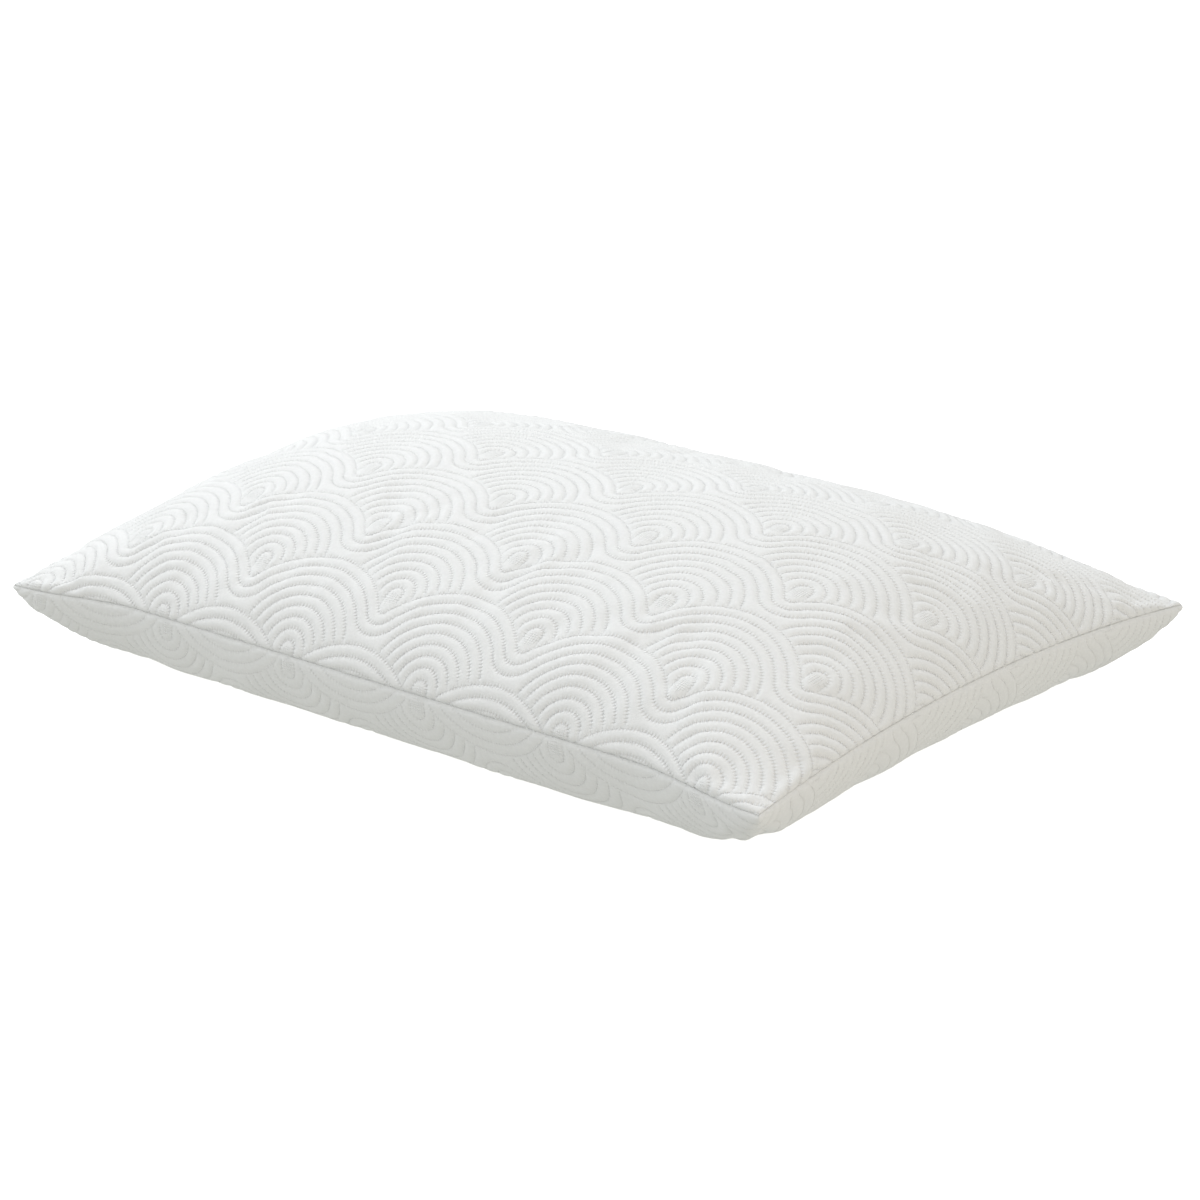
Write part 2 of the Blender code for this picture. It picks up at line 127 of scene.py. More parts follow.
FAN_WIDTH = 0.1285  # from one fan's eye to the next in its row
ROW_STEP = 0.0617  # from one row of eyes to the next
FIRST_EYE = (-0.2076, -0.2598)  # in the cloth, measured from the middle of the panel
STITCH = 0.0028
STITCH_QUARTERS = np.array([0.125, 0.375, 0.625, 0.875])  # four points along each stitch
QUARTER = STITCH / len(STITCH_QUARTERS)
LINES = 9  # the lines of a fan are arcs about its eye, the first one outermost
WAVES = 3  # the first ones run on from fan to fan; the rest stop on the row below
OUTER_RADIUS = 0.0789
LINE_PITCH = 0.0090
TROUGH_HEIGHT = 0.0445  # of the outermost line between two fans, over their eyes
FAN_NARROWING = 1.052  # the arcs are this much taller than they are wide
STOP_SHORT = 0.0011  # from an arc's end to the line that it stops on
ARC_TAIL = 0.02  # how far below the eye an arc's straight ends are followed
ARC_STEPS, TAIL_STEPS, WAVE_STEPS = 800, 100, 1200  # fine steps along each line
NEARBY = 1e-4  # how far ahead and behind a line's direction is taken

trough_x = FAN_WIDTH / 2 * FAN_NARROWING
trough_radius = (trough_x**2 + TROUGH_HEIGHT**2 - OUTER_RADIUS**2) / (2 * (OUTER_RADIUS - TROUGH_HEIGHT))
trough_y = TROUGH_HEIGHT + trough_radius


def wave(x, number):
    """Height over the eye of a line that runs on: an arc about the eye, then one about the trough."""
    x = np.abs(x) * FAN_NARROWING
    over = OUTER_RADIUS - number * LINE_PITCH
    under = trough_radius + number * LINE_PITCH
    join = over * trough_x / math.hypot(trough_x, trough_y)
    crest = np.sqrt(np.clip(over**2 - x**2, 0, None))
    trough = trough_y - np.sqrt(np.clip(under**2 - (x - trough_x) ** 2, 0, None))
    return np.where(x < join, crest, trough)


def arc(number):
    """The points of a line that stops on the row below: an arc about the eye with straight ends."""
    radius = OUTER_RADIUS - number * LINE_PITCH
    angle = np.linspace(-math.pi / 2, math.pi / 2, ARC_STEPS + 1)
    x, y = radius * np.sin(angle) / FAN_NARROWING, radius * np.cos(angle)
    tail = np.linspace(0, ARC_TAIL, TAIL_STEPS + 1)[1:]
    x = np.concatenate([np.full(TAIL_STEPS, x[0]), x, np.full(TAIL_STEPS, x[-1])])
    y = np.concatenate([-tail[::-1], y, -tail])
    clear = y > wave(FAN_WIDTH / 2 - np.abs(x), 0) - ROW_STEP + STOP_SHORT
    middle = len(x) // 2
    stop = np.argmin(clear[middle:])
    return np.stack([x, y], axis=1)[middle - stop + 1 : middle + stop]


def one_fan():
    """The stitch points of one fan, each with its line's direction, its count along the line, the stitch's
    length and the line's number, and with how many stitches the line has in a fan's width, if it runs on."""
    across = np.linspace(-FAN_WIDTH / 2, FAN_WIDTH / 2, WAVE_STEPS + 1)
    lines = []
    for number in range(LINES):
        points = arc(number) if number >= WAVES else np.stack([across, wave(across, number)], axis=1)
        run = np.concatenate([[0], np.cumsum(np.linalg.norm(np.diff(points, axis=0), axis=1))])
        stitches = max(2, round(run[-1] / STITCH))
        count = (np.arange(stitches)[:, None] + STITCH_QUARTERS).ravel()
        at = count / stitches * run[-1]
        place = np.stack([np.interp(at, run, points[:, k]) for k in (0, 1)], axis=1)
        ahead = np.stack([np.interp(at + NEARBY, run, points[:, k]) for k in (0, 1)], axis=1)
        behind = np.stack([np.interp(at - NEARBY, run, points[:, k]) for k in (0, 1)], axis=1)
        way = (ahead - behind) / np.linalg.norm(ahead - behind, axis=1, keepdims=True)
        same = np.ones(len(count))
        to_next_fan = stitches * (number < WAVES)
        lines.append((place, way, count, same * run[-1] / stitches, same * number, same * to_next_fan))
    return [np.concatenate([line[k] for line in lines]) for k in range(6)]


fan_stitches = one_fan()


def eyes_over(half_width, half_height):
    """The fans' eyes on a panel of this size and just past it, each with its row and its place in the row."""
    rows_down = math.ceil((half_height + FIRST_EYE[1]) / ROW_STEP) + 2
    rows_up = math.ceil((half_height - FIRST_EYE[1]) / ROW_STEP) + 1
    columns = math.ceil(2 * half_width / FAN_WIDTH) + 2
    eyes = []
    for row in range(-rows_down, rows_up):
        for column in range(-columns, columns + 1):
            x = FIRST_EYE[0] + (column + 0.5 * (row % 2)) * FAN_WIDTH
            eyes.append((x, FIRST_EYE[1] + row * ROW_STEP, row, column))
    return np.array(eyes)


def quilting_over(half_width, half_height):
    """Every stitch point on a panel: its place, its line's direction, its count along the line, the stitch's
    length, whether the line is a wave, and a number that only this line has."""
    eyes = eyes_over(half_width, half_height)
    place, way, count, pitch, number, to_next_fan = fan_stitches
    places = eyes[:, None, :2] + place
    counts = count + eyes[:, None, 3] * to_next_fan
    on_wave = np.broadcast_to(number < WAVES, counts.shape)
    lines = np.where(on_wave, eyes[:, None, 2], len(eyes) + np.arange(len(eyes))[:, None]) * LINES + number
    on = (np.abs(places[..., 0]) < half_width) & (np.abs(places[..., 1]) < half_height)
    spread = (np.broadcast_to(values, places.shape[:2] + values.shape[1:]) for values in (way, pitch))
    ways, pitches = (values[on] for values in spread)
    return places[on], ways, counts[on], pitches, on_wave[on], lines[on]


# ---- The cover, closed and filled ------------------------------------------------------------------------
# The cover's two panels are cut flat and sewn together all round. The filling pushes them out, the seam holds
# their edges, and the cloth to spare there gathers into soft puckers. A cloth simulation finds them.

COARSE_CELL = 0.010
CLOTH_MASS = 0.3
CLOTH_STIFFNESS = 15
CLOTH_SHEAR = CLOTH_STIFFNESS / 3
CLOTH_BENDING = 0.5
CLOTH_STEPS = 5  # to a frame
CLOTH_SLACK = 0.02  # the share by which the cloth is longer than the form needs
FILL_PRESSURE = 4
SETTLING_FRAMES = 20
PUCKER_OUT = 0.0018  # the most that a pucker stands up
PUCKER_IN = 0.0009  # and the most that the cloth between two of them sinks
SWELLING_ROUNDS = 12  # of smoothing; what is wider than this is already in the form
FINE_STEPS = 6000  # with which a line over the form is measured


def even_shares(line, cell, multiple=1):
    """Shares that lie about one cell apart along a line over the form."""
    fine = np.sin(np.linspace(-math.pi / 2, math.pi / 2, FINE_STEPS + 1))
    run = np.concatenate([[0], np.cumsum(np.linalg.norm(np.diff(line(fine), axis=0), axis=1))])
    cells = multiple * round(run[-1] / cell / multiple)
    shares = np.interp(np.linspace(0, run[-1], cells + 1), run, fine)
    return (shares - shares[::-1]) / 2


def outward(points):
    """Unit normals of a grid over the form."""
    n = np.cross(np.gradient(points, axis=1), np.gradient(points, axis=0))
    return n / np.maximum(np.linalg.norm(n, axis=-1, keepdims=True), 1e-12)


def quads(index, flip=False):
    """The faces of a grid of vertices, given their numbers."""
    corners = np.stack([index[:-1, :-1], index[:-1, 1:], index[1:, 1:], index[1:, :-1]], axis=-1)
    corners = corners.reshape(-1, 4)
    return (corners[:, ::-1] if flip else corners).tolist()


def filled_cover():
    """How far the cloth stands off the form, above and below the seam, on a coarse grid over the form."""
    U, V = np.meshgrid(coarse_u, coarse_v)
    closed = {side: form(U, V, side) - side * slot_opening(U, V)[..., None] * (0, 0, 1) for side in (1, -1)}
    inside = np.zeros(U.shape, bool)
    inside[1:-1, 1:-1] = True
    above = np.arange(U.size).reshape(U.shape)
    below = above.copy()
    below[inside] = U.size + np.arange(inside.sum())
    vertices = np.concatenate([closed[1].reshape(-1, 3), closed[-1][inside]])
    mesh = bpy.data.meshes.new("sewn_cover")
    mesh.from_pydata(vertices, [], quads(above) + quads(below, flip=True))
    cover = bpy.data.objects.new("sewn_cover", mesh)
    scene.collection.objects.link(cover)
    cover.vertex_groups.new(name="seam").add(above[~inside].tolist(), 1.0, "REPLACE")
    cloth = cover.modifiers.new("cloth", "CLOTH")
    cloth.point_cache.frame_start, cloth.point_cache.frame_end = 1, SETTLING_FRAMES
    settings = cloth.settings
    settings.quality = CLOTH_STEPS
    settings.mass = CLOTH_MASS
    settings.tension_stiffness = settings.compression_stiffness = CLOTH_STIFFNESS
    settings.shear_stiffness = CLOTH_SHEAR
    settings.bending_stiffness = CLOTH_BENDING
    settings.use_pressure = True
    settings.uniform_pressure_force = FILL_PRESSURE
    settings.shrink_min = -CLOTH_SLACK
    settings.vertex_group_mass = "seam"
    settings.effector_weights.gravity = 0
    for number in range(1, SETTLING_FRAMES + 1):
        scene.frame_set(number)
    settled = cover.evaluated_get(bpy.context.evaluated_depsgraph_get()).to_mesh()
    place = np.empty(len(vertices) * 3)
    settled.vertices.foreach_get("co", place)
    bpy.data.objects.remove(cover)
    scene.frame_set(1)
    puckers = {}
    for side, index in ((1, above), (-1, below)):
        risen = ((place.reshape(-1, 3)[index] - closed[side]) * outward(closed[side]) * side).sum(-1)
        swelling = risen.copy()
        for _ in range(SWELLING_ROUNDS):
            beside = swelling[:-2, 1:-1] + swelling[2:, 1:-1] + swelling[1:-1, :-2] + swelling[1:-1, 2:]
            swelling[1:-1, 1:-1] = (beside + swelling[1:-1, 1:-1]) / 5
        pucker = risen - swelling
        most = np.where(pucker > 0, PUCKER_OUT, PUCKER_IN)
        puckers[side] = most * np.tanh(pucker / most)
    return puckers


coarse_u = even_shares(lambda share: form(share, 0 * share, 1), COARSE_CELL)
coarse_v = even_shares(lambda share: form(0 * share, share, 1), COARSE_CELL)
puckers = filled_cover()

# ---- The quilted panels ----------------------------------------------------------------------------------
# Two panels of white stretch knit over fibre wadding, quilted together: the wadding stands up between the
# stitch lines. They are sewn to each other all round, face to face, and turned, so each rolls in at the seam.

CELL = 0.0014  # of the panels' mesh
INNER_STEP = 8  # cells of the outer face to one of the inner
PANEL_THICKNESS = 0.0043
SEAM_ROLL = 0.0045  # how far from the seam the panels roll in to it
SEAM_DIP = 0.0026
ZIP_DIP = 0.0010  # where the panels are folded under beside the zip
TAPE_END_RISE = 0.0013  # where the panels' edges lie over the zip tapes' ends
TAPE_END_REACH = 0.009  # how far from the edge that rise dies away
CHANNEL_HALF = 0.0045  # from a stitch line to the full height of the channel beside it
WAVE_REACH = 0.0021  # the creases beside a wave are its own this far out
CREASE_REACH = 0.0028  # how far the small creases beside a stitch line run
CREASE_FADE = 0.0013
PANEL_SIDES = {"top": 1, "bottom": -1}
GROOVE = {"top": 0.00115, "bottom": 0.0006}
CREASE_SHARE = {"top": 1.0, "bottom": 0.5}  # the underside's quilting is pulled flatter
EYE_HALF = (0.0056, 0.0068)  # of the open-knit patch in each fan's eye
EYE_DROP = 0.004  # of its middle below the arcs' own
EYE_FADE = 1.4  # the patch is gone where the square of its share outwards is this
PUFF_POWER = 0.9  # how full the cloth between two stitch lines stands; 1 is round
SEAM_GROOVE = (0.0002, 0.4)  # the deepest a groove is at the seam, and how much that grows with the height
DRAWN = (5, 0.18, 0.030)  # how unevenly the grooves are drawn in: a seed, a share and the waves' length
LUMPS = (9, 0.0005, 0.075)  # how uneven the filling is: a seed, a height and the waves' length
LUMPS_FROM_SEAM = 0.02  # the height over the seam at which they are full
SWELL_WAVES = 14  # that each kind of unevenness is the sum of
TAPE_RISE_START = 2.0  # how many times faster than the slot's taper the rise over the tapes' ends comes
TAPE_RISE_STOP = 1.8  # how many tapers past the tapes' ends it is gone
KNIT_LIGHT, KNIT_DARK = (0.900, 0.905, 0.905), (0.868, 0.873, 0.872)
KNIT_PATCH_MM = 3.0  # about the size of its lighter and darker patches
KNIT_CREASE_MM = (0.55, 0.16)  # half the width and the depth of the crease along a stitch line
KNIT_PUCKER_MM = (2.0, 0.28)  # and of the puckers that each stitch draws in it
WALE_MM, COURSE_MM, LOOP_MM = 1.1, 1.0, 0.10  # the loops' width, length and height
FUZZ_MM = 0.25  # how uneven the loops' yarn makes the face
LATTICE_MM = (3.6, 0.22)  # the pitch along a row and the height of the open knit in an eye


def run_along(points, axis):
    """How far each point of a grid is along its row or column, from -1 to 1, and the middle one's length."""
    steps = np.linalg.norm(np.diff(points, axis=axis), axis=-1)
    run = np.insert(np.cumsum(steps, axis=axis), 0, 0, axis=axis)
    total = np.take(run, [-1], axis=axis)
    return run / total * 2 - 1, total.ravel()[total.size // 2]


def nearest_of(points, targets):
    """How far each point is from the nearest target, and which one that is."""
    tree = KDTree(len(targets))
    for number, place in enumerate(targets.tolist()):
        tree.insert((*place, 0), number)
    tree.balance()
    found = [tree.find((a, b, 0)) for a, b in points.tolist()]
    return np.array([f[2] for f in found]), np.array([f[1] for f in found])


def smooth_step(x):
    """From 0 to 1 along a soft curve."""
    x = np.clip(x, 0, 1)
    return x * x * (3 - 2 * x)


def four_nearest(place, count):
    """The four places in a row nearest to a fractional one, each with its weight on a smooth curve."""
    first = np.clip(place.astype(int), 0, count - 2)
    f = place - first
    weights = (
        -0.5 * f**3 + f**2 - 0.5 * f,
        1.5 * f**3 - 2.5 * f**2 + 1,
        -1.5 * f**3 + 2 * f**2 + 0.5 * f,
        0.5 * f**3 - 0.5 * f**2,
    )
    return [(np.clip(first + k - 1, 0, count - 1), weight) for k, weight in enumerate(weights)]


def between(grid, i, j):
    """A grid's smooth values at fractional rows and columns."""
    total = 0
    for row, row_weight in four_nearest(i, grid.shape[0]):
        for column, weight in four_nearest(j, grid.shape[1]):
            total = total + grid[row, column] * (row_weight * weight)[..., None]
    return total


def swell(s, t, seed, size):
    """Soft random unevenness, between about -1 and 1, with waves about this long."""
    draw = np.random.default_rng(seed)
    total = 0
    for _ in range(SWELL_WAVES):
        angle, phase = draw.uniform(0, math.pi), draw.uniform(0, 2 * math.pi)
        pitch = 2 * math.pi / (size * draw.uniform(0.7, 1.5))
        total = total + np.sin(pitch * (s * math.cos(angle) + t * math.sin(angle)) + phase)
    return total / math.sqrt(SWELL_WAVES)


def rim_walk(index):
    """Once round a grid's rim."""
    sides = (index[0, :-1], index[:-1, -1], index[-1, :0:-1], index[:0:-1, 0])
    return [int(i) for side in sides for i in side]


def by_line_ends(line):
    """The points of a grid whose cell has more than one stitch line's points at its corners."""
    corners = np.stack([line[:-1, :-1], line[:-1, 1:], line[1:, 1:], line[1:, :-1]])
    mixed = corners.min(0) != corners.max(0)
    marked = np.zeros(line.shape, bool)
    for rows in (slice(None, -1), slice(1, None)):
        for columns in (slice(None, -1), slice(1, None)):
            marked[rows, columns] |= mixed
    return marked


def mesh_piece(name, vertices, faces, finish, smooth=None):
    """A piece in this finish. Its first faces, as many as smooth says, or all of them, are shaded smooth."""
    mesh = bpy.data.meshes.new(name)
    mesh.from_pydata(vertices, [], faces)
    mesh.materials.append(finish)
    smooth_count = len(faces) if smooth is None else smooth
    mesh.polygons.foreach_set("use_smooth", np.arange(len(faces)) < smooth_count)
    piece = bpy.data.objects.new(name, mesh)
    scene.collection.objects.link(piece)
    return piece


def new_finish(name, roughness, metallic=0.0, specular=0.5, sheen=0.0):
    """A material's nodes, with the values that are the same all over it."""
    finish = bpy.data.materials.new(name)
    finish.use_nodes = True
    shader = finish.node_tree.nodes["Principled BSDF"]
    shader.inputs["Roughness"].default_value = roughness
    shader.inputs["Metallic"].default_value = metallic
    shader.inputs["Specular IOR Level"].default_value = specular
    shader.inputs["Sheen Weight"].default_value = sheen
    return finish, finish.node_tree, shader


def node(tree, kind, inputs=None, **settings):
    """A new node whose inputs are values or other nodes' outputs."""
    made = tree.nodes.new("ShaderNode" + kind)
    for key, value in settings.items():
        setattr(made, key, value)
    for key, value in (inputs or {}).items():
        if isinstance(value, bpy.types.NodeSocket):
            tree.links.new(value, made.inputs[key])
        else:
            made.inputs[key].default_value = value
    return made


def place_parts(tree):
    """The x, y and z of each place on a piece, in the frame."""
    return node(tree, "SeparateXYZ", {"Vector": node(tree, "TexCoord").outputs["Object"]}).outputs


def calc(tree, operation, *values):
    """One sum, of values or of other nodes' outputs."""
    return node(tree, "Math", dict(enumerate(values)), operation=operation).outputs[0]


def ripple(tree, value, pitch, shift=0.0):
    """A sine of a coordinate."""
    return calc(tree, "SINE", calc(tree, "MULTIPLY_ADD", value, 2 * math.pi / pitch, shift))


def product(tree, first, *others):
    """Several values multiplied together."""
    for other in others:
        first = calc(tree, "MULTIPLY", first, other)
    return first


def bell(tree, value, width):
    """1 where the value is 0, falling away within this width."""
    share = calc(tree, "DIVIDE", value, width)
    return calc(tree, "EXPONENT", product(tree, share, share, -1.0))


def mottled(tree, shader, light, dark, size, vector=None):
    """Two near shades of one colour, in soft patches of about this size."""
    if vector is None:
        vector = node(tree, "TexCoord").outputs["Object"]
    patches = node(tree, "TexNoise", {"Vector": vector, "Scale": 1 / size, "Detail": 3.0})
    ramp = node(tree, "ValToRGB", {"Fac": patches.outputs["Fac"]})
    ramp.color_ramp.elements[0].position, ramp.color_ramp.elements[1].position = 0.35, 0.65
    ramp.color_ramp.elements[0].color, ramp.color_ramp.elements[1].color = (*dark, 1), (*light, 1)
    tree.links.new(ramp.outputs["Color"], shader.inputs["Base Color"])


def raised(tree, shader, *layers):
    """The finish's fine relief: layers over each other, each a value and its height in millimetres."""
    total = 0.0
    for value, height_mm in layers:
        total = calc(tree, "MULTIPLY_ADD", value, height_mm, total)
    bump = node(tree, "Bump", {"Height": total, "Distance": 0.001})
    tree.links.new(bump.outputs["Normal"], shader.inputs["Normal"])


def quilted_knit(name):
    """White stretch knit: fine wales and courses, an open-knit patch in each eye, puckers at each stitch."""
    finish, tree, shader = new_finish(name, 0.88, specular=0.22, sheen=0.12)
    shader.inputs["Sheen Roughness"].default_value = 0.5
    cloth = node(tree, "Attribute", attribute_name="cloth_mm").outputs["Vector"]
    across, up, eye = node(tree, "SeparateXYZ", {"Vector": cloth}).outputs
    row = node(tree, "Attribute", attribute_name="stitch_row").outputs["Vector"]
    beside, near, count = node(tree, "SeparateXYZ", {"Vector": row}).outputs
    mottled(tree, shader, KNIT_LIGHT, KNIT_DARK, KNIT_PATCH_MM, cloth)
    crease_width, crease_depth = KNIT_CREASE_MM
    crease = product(tree, bell(tree, beside, crease_width), near)
    pucker_width, pucker_depth = KNIT_PUCKER_MM
    needle_holes = calc(tree, "COSINE", calc(tree, "MULTIPLY", count, 2 * math.pi))
    drawn_in = product(tree, bell(tree, beside, pucker_width), near, needle_holes)
    wales = calc(tree, "ABSOLUTE", ripple(tree, across, 2 * WALE_MM))
    courses = calc(tree, "MULTIPLY_ADD", ripple(tree, up, COURSE_MM, 0.6), 0.25, 0.75)
    loops = product(tree, wales, courses)
    fuzz = node(tree, "TexNoise", {"Vector": cloth, "Scale": 0.9, "Detail": 2.0}).outputs["Fac"]
    lattice_pitch, lattice_height = LATTICE_MM
    one_way = ripple(tree, calc(tree, "ADD", across, up), lattice_pitch)
    other_way = ripple(tree, calc(tree, "SUBTRACT", across, up), lattice_pitch)
    lattice = product(tree, one_way, other_way, eye)
    stitching = ((crease, -crease_depth), (drawn_in, -pucker_depth))
    raised(tree, shader, *stitching, (loops, LOOP_MM), (fuzz, FUZZ_MM), (lattice, lattice_height))
    return finish


knit_finish = quilted_knit("quilted_knit")
panels = {}
for half, side in PANEL_SIDES.items():
    u = even_shares(lambda share: form(share, 0 * share, side), CELL, INNER_STEP)
    v = even_shares(lambda share: form(0 * share, share, side), CELL, INNER_STEP)
    U, V = np.meshgrid(u, v)
    smooth = form(U, V, side)
    s, cloth_length = run_along(smooth, 1)
    t, cloth_depth = run_along(smooth, 0)
    half_width, half_height = cloth_length / 2, cloth_depth / 2
    s, t = s * half_width, t * half_height
    coarse_i = np.interp(V, coarse_v, np.arange(len(coarse_v)))
    coarse_j = np.interp(U, coarse_u, np.arange(len(coarse_u)))
    base = smooth + outward(smooth) * side * between(puckers[side][..., None], coarse_i, coarse_j)
    normals = outward(base) * side

    # The nearest stitch to each point of the cloth; close to a wave it is the wave's, also where an arc ends.
    places, ways, counts, stitches, on_wave, lines = quilting_over(half_width, half_height)
    flat = np.stack([s.ravel(), t.ravel()], axis=1)
    wave_number = np.flatnonzero(on_wave)
    to_any, any_nearest = nearest_of(flat, places)
    to_wave, wave_nearest = nearest_of(flat, places[wave_number])
    nearest = np.where(to_wave < WAVE_REACH, wave_number[wave_nearest], any_nearest)
    offset = flat - places[nearest]
    along = (offset * ways[nearest]).sum(1)
    beside = offset[:, 0] * ways[nearest][:, 1] - offset[:, 1] * ways[nearest][:, 0]
    past_end = np.clip(np.abs(along) - QUARTER, 0, None)
    beside = np.where(past_end > 0, np.copysign(np.hypot(beside, past_end), beside), beside)
    count = counts[nearest] + along / stitches[nearest]
    away = np.sqrt(np.clip(to_any**2 - (QUARTER / 2) ** 2, 0, None))
    near = CREASE_SHARE[half] * smooth_step((CREASE_REACH - away) / CREASE_FADE)
    near = near * ~by_line_ends(lines[nearest].reshape(s.shape)).ravel()

    channel = np.clip(away / CHANNEL_HALF, 0, 1).reshape(s.shape)
    puff = (1 - (1 - channel) ** 2) ** PUFF_POWER
    seed, share, waves = DRAWN
    loose = 1 + share * swell(s, t, seed + side, waves)
    over_seam = np.abs(base[..., 2] - seam_height(U, V))
    at_seam, with_height = SEAM_GROOVE
    depth = np.minimum(GROOVE[half] * loose, with_height * over_seam + at_seam) * (1 - puff)
    seed, height, waves = LUMPS
    depth = depth - height * np.minimum(1, over_seam / LUMPS_FROM_SEAM) * swell(s, t, seed + side, waves)

    from_short, from_long = half_width - np.abs(s), half_height - np.abs(t)
    slot = slot_opening(U, V) / (SLOT_RISE / 2)
    roll_x = SEAM_DIP * (1 - np.sqrt(1 - np.clip(1 - from_short / SEAM_ROLL, 0, 1) ** 2))
    roll_y = 1 - np.sqrt(1 - np.clip(1 - from_long / SEAM_ROLL, 0, 1) ** 2)
    roll_y = roll_y * (SEAM_DIP + (ZIP_DIP - SEAM_DIP) * slot)
    outer = base - normals * depth[..., None]
    outer[..., 0] -= np.sign(s) * roll_x
    outer[..., 1] -= np.sign(t) * roll_y
    past_opening = (np.abs(base[..., 0]) - SLOT_HALF) / SLOT_TAPER
    past_tape = (np.abs(base[..., 0]) - ZIP_HALF) / SLOT_TAPER
    over_tape = smooth_step(1 + past_opening * TAPE_RISE_START) * smooth_step(TAPE_RISE_STOP - past_tape)
    outer[..., 1] += TAPE_END_RISE * over_tape * np.exp(-((from_long / TAPE_END_REACH) ** 2)) * (t > 0)
    outer[..., 2] = np.maximum(outer[..., 2], 0.0)

    inner = form(U[::INNER_STEP, ::INNER_STEP], V[::INNER_STEP, ::INNER_STEP], side, PANEL_THICKNESS)
    outer_index = np.arange(s.size).reshape(s.shape)
    inner_index = s.size + np.arange(inner[..., 0].size).reshape(inner.shape[:2])
    vertices = np.concatenate([outer.reshape(-1, 3), inner.reshape(-1, 3)])
    faces = quads(outer_index, flip=side < 0)
    smooth_faces = len(faces)
    faces += quads(inner_index, flip=side > 0)
    outer_rim, inner_rim = rim_walk(outer_index), rim_walk(inner_index)
    for number, here in enumerate(inner_rim):
        start = number * INNER_STEP
        edge = [outer_rim[(start + k) % len(outer_rim)] for k in range(INNER_STEP + 1)]
        band = edge[::-1] + [here, inner_rim[(number + 1) % len(inner_rim)]]
        faces.append(band if side > 0 else band[::-1])
    panel = mesh_piece(f"cover_{half}_panel", vertices, faces, knit_finish, smooth_faces)

    to_eye = np.full(len(flat), np.inf)
    for eye in eyes_over(half_width, half_height):
        from_eye = (flat - eye[:2] + (0, EYE_DROP)) / EYE_HALF
        to_eye = np.minimum(to_eye, (from_eye**2).sum(1))
    padding = np.zeros((inner_index.size, 3))
    cloth_mm = np.stack([flat[:, 0] * 1000, flat[:, 1] * 1000, smooth_step(EYE_FADE - to_eye)], axis=1)
    stitch_row = np.stack([beside * 1000, near, count], axis=1)
    for name, values in (("cloth_mm", cloth_mm), ("stitch_row", stitch_row)):
        attribute = panel.data.attributes.new(name, "FLOAT_VECTOR", "POINT")
        attribute.data.foreach_set("vector", np.concatenate([values, padding]).astype(np.float32).ravel())
    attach(panel, "pillow")
    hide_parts(f"cover_{half}_knit", f"cover_{half}_wadding")
    panels[half] = (outer, normals, s, t, half_width, half_height)

# ---- The quilting thread ---------------------------------------------------------------------------------
# White polyester lock stitches, one thread length from each needle hole to the next, drawn down into the
# wadding. Two more rows are sewn beside the zip, through its tapes and the panels' folded edges.

THREAD_HALF = 0.00015
THREAD_LIFT = 0.00008  # of the thread's middle over the cloth
NEEDLE_HOLE = 0.00025  # how far into it, and how far along, the thread goes at a stitch's end
THREAD_SEAM_GAP = 0.0030  # from the edge of a panel
ZIP_ROW_IN = 0.0048  # of the rows beside the zip, from the folded edge
THREAD_CORNERS = (0, 2 * math.pi / 3, 4 * math.pi / 3)
LOOKUP_ROUNDS = 5  # in which a place on the cloth is found in the panel's mesh
THREAD_LIGHT, THREAD_DARK = (0.90, 0.90, 0.895), (0.83, 0.83, 0.825)
THREAD_TWIST = 0.0004  # from one ply's ridge to the next
THREAD_TWIST_MM = 0.03  # the ridges' height


def on_panel(half, flat):
    """The places on a panel, and its normals there, of points that are given on the flat cloth."""
    outer, normals, s, t, half_width, half_height = panels[half]
    cloth = np.stack([t / half_height, s / half_width], axis=-1)
    wanted = flat[..., ::-1] / (half_height, half_width)
    steps = np.array(s.shape) - 1
    spot = (wanted + 1) / 2 * steps
    for _ in range(LOOKUP_ROUNDS):
        spot = spot + (wanted - between(cloth, spot[..., 0], spot[..., 1])) / 2 * steps
    return between(outer, spot[..., 0], spot[..., 1]), between(normals, spot[..., 0], spot[..., 1])


def sew(name, half, stitches, finish):
    """The visible thread of many stitches, each given by four points along it on the flat cloth."""
    places, ups = on_panel(half, stitches)
    first, last, up = places[:, 0], places[:, -1], ups.mean(1)
    up /= np.linalg.norm(up, axis=1, keepdims=True)
    along = last - first
    along /= np.linalg.norm(along, axis=1, keepdims=True)
    aside = np.cross(along, up)
    ring = [THREAD_LIFT * up + THREAD_HALF * (math.sin(a) * aside + math.cos(a) * up) for a in THREAD_CORNERS]
    hole = NEEDLE_HOLE * up
    corners = [first - NEEDLE_HOLE * along - hole, *(first + r for r in ring)]
    corners += [*(last + r for r in ring), last + NEEDLE_HOLE * along - hole]
    faces = []
    for number in range(len(stitches)):
        n = number * len(corners)
        end = n + len(corners) - 1
        for k in range(3):
            a, b = n + 1 + k, n + 1 + (k + 1) % 3
            faces += [(n, a, b), (a, a + 3, b + 3, b), (end, b + 3, a + 3)]
    thread = mesh_piece(name, np.stack(corners, axis=1).reshape(-1, 3), faces, finish)
    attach(thread, "pillow")


def twisted_thread(name):
    """Soft white filament, with its plies' twist as fine ridges."""
    finish, tree, shader = new_finish(name, 0.55, specular=0.35, sheen=0.2)
    mottled(tree, shader, THREAD_LIGHT, THREAD_DARK, 0.004)
    x, y, z = place_parts(tree)
    twist = ripple(tree, calc(tree, "ADD", calc(tree, "ADD", x, y), z), THREAD_TWIST)
    raised(tree, shader, (twist, THREAD_TWIST_MM))
    return finish


